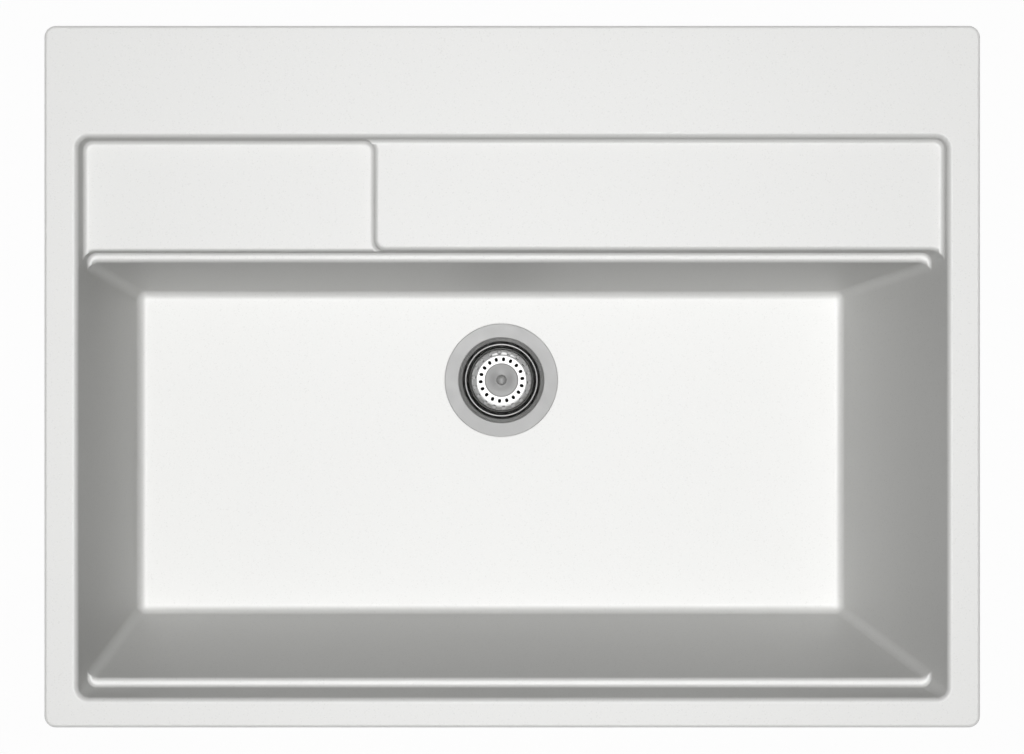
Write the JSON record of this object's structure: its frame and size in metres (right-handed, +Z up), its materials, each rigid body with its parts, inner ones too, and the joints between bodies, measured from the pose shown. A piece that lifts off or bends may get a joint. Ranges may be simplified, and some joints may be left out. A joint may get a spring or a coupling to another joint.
{
  "type": "kitchen sink",
  "caption": "Inset composite kitchen sink with one wide bowl, a stepped rear shelf, a tap land, a lift-out basket strainer waste and screw clamps for the worktop.",
  "frame": {"origin": "centre of the rim's underside, the plane that rests on the worktop", "axes": "+X right, +Y towards the tap side, +Z up out of the bowl"},
  "size_m": [0.8, 0.6, 0.3665],
  "materials": {
    "composite": "moulded white granite composite with a fine mineral grain, matt",
    "strainer_steel": "satin stainless steel flange and cup",
    "basket_steel": "bright polished stainless steel",
    "plate_steel": "fine satin stainless steel",
    "bolt_steel": "machined stainless steel",
    "zinc_steel": "zinc-plated steel",
    "brass": "machined brass",
    "waste_plastic": "black polypropylene",
    "nut_plastic": "black polypropylene, fine eroded grain",
    "pipe_plastic": "white polypropylene",
    "rubber": "black rubber",
    "foam": "closed-cell foam strip"
  },
  "bodies": {
    "sink": {"sink_body": "composite", "rim_strip": "foam", "strainer_cup": "strainer_steel", "flange_seal": "rubber", "body_seal": "rubber", "waste_body": "waste_plastic", "body_insert": "brass", "centre_bolt": "bolt_steel", "outlet_seal": "rubber", "outlet_nut": "nut_plastic", "tail_pipe": "pipe_plastic", "clamp_inserts": "brass"},
    "basket": {"basket": "basket_steel", "basket_plate": "plate_steel", "basket_spacer": "plate_steel", "basket_knob": "plate_steel", "basket_stem": "bolt_steel", "stem_clip": "brass", "basket_seal": "rubber"},
    "clamp_1_slide": {"clamp_washer_1": "zinc_steel"},
    "clamp_1_screw": {"clamp_screw_1": "zinc_steel"},
    "clamp_1_claw": {"clamp_claw_1": "zinc_steel"},
    "clamp_2_slide": {"clamp_washer_2": "zinc_steel"},
    "clamp_2_screw": {"clamp_screw_2": "zinc_steel"},
    "clamp_2_claw": {"clamp_claw_2": "zinc_steel"},
    "clamp_3_slide": {"clamp_washer_3": "zinc_steel"},
    "clamp_3_screw": {"clamp_screw_3": "zinc_steel"},
    "clamp_3_claw": {"clamp_claw_3": "zinc_steel"},
    "clamp_4_slide": {"clamp_washer_4": "zinc_steel"},
    "clamp_4_screw": {"clamp_screw_4": "zinc_steel"},
    "clamp_4_claw": {"clamp_claw_4": "zinc_steel"},
    "clamp_5_slide": {"clamp_washer_5": "zinc_steel"},
    "clamp_5_screw": {"clamp_screw_5": "zinc_steel"},
    "clamp_5_claw": {"clamp_claw_5": "zinc_steel"},
    "clamp_6_slide": {"clamp_washer_6": "zinc_steel"},
    "clamp_6_screw": {"clamp_screw_6": "zinc_steel"},
    "clamp_6_claw": {"clamp_claw_6": "zinc_steel"},
    "clamp_7_slide": {"clamp_washer_7": "zinc_steel"},
    "clamp_7_screw": {"clamp_screw_7": "zinc_steel"},
    "clamp_7_claw": {"clamp_claw_7": "zinc_steel"},
    "clamp_8_slide": {"clamp_washer_8": "zinc_steel"},
    "clamp_8_screw": {"clamp_screw_8": "zinc_steel"},
    "clamp_8_claw": {"clamp_claw_8": "zinc_steel"}
  },
  "joints": [
    {"name": "basket_lift", "type": "slide", "parent": "sink", "child": "basket", "axis": [0, 0, 1], "range_m": [0, 0.26]},
    {"name": "clamp_1_draw", "type": "slide", "parent": "sink", "child": "clamp_1_slide", "axis": [0, 0, 1], "range_m": [-0.012, 0.012]},
    {"name": "clamp_1_turn", "type": "hinge", "parent": "clamp_1_slide", "child": "clamp_1_screw", "pos_m": [-0.22, -0.284, -0.06], "axis": [0, 0, 1], "range_deg": [-6172, 6172]},
    {"name": "clamp_1_swing", "type": "hinge", "parent": "clamp_1_slide", "child": "clamp_1_claw", "pos_m": [-0.22, -0.284, -0.06], "axis": [0, 0, 1], "range_deg": [-90, 90]},
    {"name": "clamp_2_draw", "type": "slide", "parent": "sink", "child": "clamp_2_slide", "axis": [0, 0, 1], "range_m": [-0.012, 0.012]},
    {"name": "clamp_2_turn", "type": "hinge", "parent": "clamp_2_slide", "child": "clamp_2_screw", "pos_m": [0.22, -0.284, -0.06], "axis": [0, 0, 1], "range_deg": [-6172, 6172]},
    {"name": "clamp_2_swing", "type": "hinge", "parent": "clamp_2_slide", "child": "clamp_2_claw", "pos_m": [0.22, -0.284, -0.06], "axis": [0, 0, 1], "range_deg": [-90, 90]},
    {"name": "clamp_3_draw", "type": "slide", "parent": "sink", "child": "clamp_3_slide", "axis": [0, 0, 1], "range_m": [-0.012, 0.012]},
    {"name": "clamp_3_turn", "type": "hinge", "parent": "clamp_3_slide", "child": "clamp_3_screw", "pos_m": [0.384, -0.15, -0.06], "axis": [0, 0, 1], "range_deg": [-6172, 6172]},
    {"name": "clamp_3_swing", "type": "hinge", "parent": "clamp_3_slide", "child": "clamp_3_claw", "pos_m": [0.384, -0.15, -0.06], "axis": [0, 0, 1], "range_deg": [-90, 90]},
    {"name": "clamp_4_draw", "type": "slide", "parent": "sink", "child": "clamp_4_slide", "axis": [0, 0, 1], "range_m": [-0.012, 0.012]},
    {"name": "clamp_4_turn", "type": "hinge", "parent": "clamp_4_slide", "child": "clamp_4_screw", "pos_m": [0.384, 0.15, -0.06], "axis": [0, 0, 1], "range_deg": [-6172, 6172]},
    {"name": "clamp_4_swing", "type": "hinge", "parent": "clamp_4_slide", "child": "clamp_4_claw", "pos_m": [0.384, 0.15, -0.06], "axis": [0, 0, 1], "range_deg": [-90, 90]},
    {"name": "clamp_5_draw", "type": "slide", "parent": "sink", "child": "clamp_5_slide", "axis": [0, 0, 1], "range_m": [-0.012, 0.012]},
    {"name": "clamp_5_turn", "type": "hinge", "parent": "clamp_5_slide", "child": "clamp_5_screw", "pos_m": [0.22, 0.284, -0.06], "axis": [0, 0, 1], "range_deg": [-6172, 6172]},
    {"name": "clamp_5_swing", "type": "hinge", "parent": "clamp_5_slide", "child": "clamp_5_claw", "pos_m": [0.22, 0.284, -0.06], "axis": [0, 0, 1], "range_deg": [-90, 90]},
    {"name": "clamp_6_draw", "type": "slide", "parent": "sink", "child": "clamp_6_slide", "axis": [0, 0, 1], "range_m": [-0.012, 0.012]},
    {"name": "clamp_6_turn", "type": "hinge", "parent": "clamp_6_slide", "child": "clamp_6_screw", "pos_m": [-0.22, 0.284, -0.06], "axis": [0, 0, 1], "range_deg": [-6172, 6172]},
    {"name": "clamp_6_swing", "type": "hinge", "parent": "clamp_6_slide", "child": "clamp_6_claw", "pos_m": [-0.22, 0.284, -0.06], "axis": [0, 0, 1], "range_deg": [-90, 90]},
    {"name": "clamp_7_draw", "type": "slide", "parent": "sink", "child": "clamp_7_slide", "axis": [0, 0, 1], "range_m": [-0.012, 0.012]},
    {"name": "clamp_7_turn", "type": "hinge", "parent": "clamp_7_slide", "child": "clamp_7_screw", "pos_m": [-0.384, 0.15, -0.06], "axis": [0, 0, 1], "range_deg": [-6172, 6172]},
    {"name": "clamp_7_swing", "type": "hinge", "parent": "clamp_7_slide", "child": "clamp_7_claw", "pos_m": [-0.384, 0.15, -0.06], "axis": [0, 0, 1], "range_deg": [-90, 90]},
    {"name": "clamp_8_draw", "type": "slide", "parent": "sink", "child": "clamp_8_slide", "axis": [0, 0, 1], "range_m": [-0.012, 0.012]},
    {"name": "clamp_8_turn", "type": "hinge", "parent": "clamp_8_slide", "child": "clamp_8_screw", "pos_m": [-0.384, -0.15, -0.06], "axis": [0, 0, 1], "range_deg": [-6172, 6172]},
    {"name": "clamp_8_swing", "type": "hinge", "parent": "clamp_8_slide", "child": "clamp_8_claw", "pos_m": [-0.384, -0.15, -0.06], "axis": [0, 0, 1], "range_deg": [-90, 90]}
  ],
  "couplings": [
    {"joint": "clamp_1_turn", "follows": "clamp_1_draw", "rad_per_m": 8976},
    {"joint": "clamp_2_turn", "follows": "clamp_2_draw", "rad_per_m": 8976},
    {"joint": "clamp_3_turn", "follows": "clamp_3_draw", "rad_per_m": 8976},
    {"joint": "clamp_4_turn", "follows": "clamp_4_draw", "rad_per_m": 8976},
    {"joint": "clamp_5_turn", "follows": "clamp_5_draw", "rad_per_m": 8976},
    {"joint": "clamp_6_turn", "follows": "clamp_6_draw", "rad_per_m": 8976},
    {"joint": "clamp_7_turn", "follows": "clamp_7_draw", "rad_per_m": 8976},
    {"joint": "clamp_8_turn", "follows": "clamp_8_draw", "rad_per_m": 8976}
  ]
}
